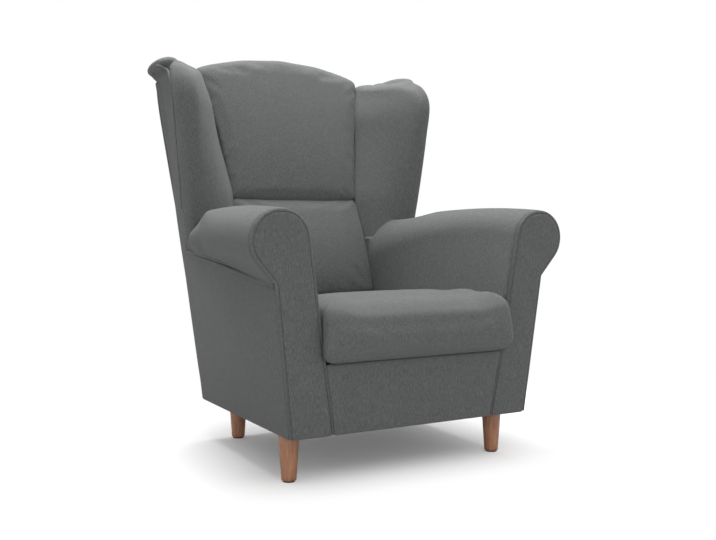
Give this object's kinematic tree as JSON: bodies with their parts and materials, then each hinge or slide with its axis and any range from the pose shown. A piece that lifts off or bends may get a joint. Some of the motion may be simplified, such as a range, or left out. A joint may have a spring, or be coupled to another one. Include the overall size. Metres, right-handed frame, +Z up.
{
  "type": "upholstered wing armchair",
  "caption": "Fabric-upholstered wing armchair with rolled arms, a crowned seat cushion, a two-part arched back and turned tapered wooden legs.",
  "frame": {"origin": "on the floor, under the middle of the overall width and depth", "axes": "+Z up, front towards -Y, +X to the right of a viewer who faces the front"},
  "size_m": [0.8698, 0.96, 1.1275],
  "materials": {
    "upholstery": "matt melange weave",
    "legs": "stained and varnished beech",
    "frame_wood": "sawn",
    "plywood": "sanded plywood",
    "foam": "open-cell upholstery foam",
    "felt": "needled felt",
    "webbing": "elastic webbing",
    "lining": "non-woven lining",
    "steel": "zinc plated",
    "glides": "moulded"
  },
  "bodies": {
    "root": {"apron_panel": "upholstery", "arm_facing_left": "upholstery", "arm_facing_right": "upholstery", "arm_front_board_left": "plywood", "arm_front_board_right": "plywood", "arm_pad_left": "upholstery", "arm_pad_right": "upholstery", "arm_piping_left": "upholstery", "arm_piping_right": "upholstery", "arm_rail_left": "frame_wood", "arm_rail_right": "frame_wood", "back_seat_rail": "frame_wood", "back_top_rail": "frame_wood", "back_waist_rail": "frame_wood", "back_webbing": "webbing", "corner_block_front_left": "frame_wood", "corner_block_front_right": "frame_wood", "corner_block_rear_left": "frame_wood", "corner_block_rear_right": "frame_wood", "dust_cover": "lining", "front_rail": "frame_wood", "leg_bolts": "steel", "leg_front_left": "legs", "leg_front_right": "legs", "leg_glides": "glides", "leg_rear_left": "legs", "leg_rear_right": "legs", "leg_tee_nuts": "steel", "lower_back_cover": "upholstery", "lower_back_foam": "foam", "outside_back_panel": "upholstery", "outside_side_panel_left": "upholstery", "outside_side_panel_right": "upholstery", "rear_post_left": "frame_wood", "rear_post_right": "frame_wood", "rear_rail": "frame_wood", "seat_cover": "upholstery", "seat_felt": "felt", "seat_foam": "foam", "seat_springs": "steel", "side_rail_left": "frame_wood", "side_rail_right": "frame_wood", "upper_back_cover": "upholstery", "upper_back_foam": "foam", "wing_board_left": "plywood", "wing_board_right": "plywood", "wing_pad_left": "upholstery", "wing_pad_right": "upholstery"}
  },
  "joints": []
}
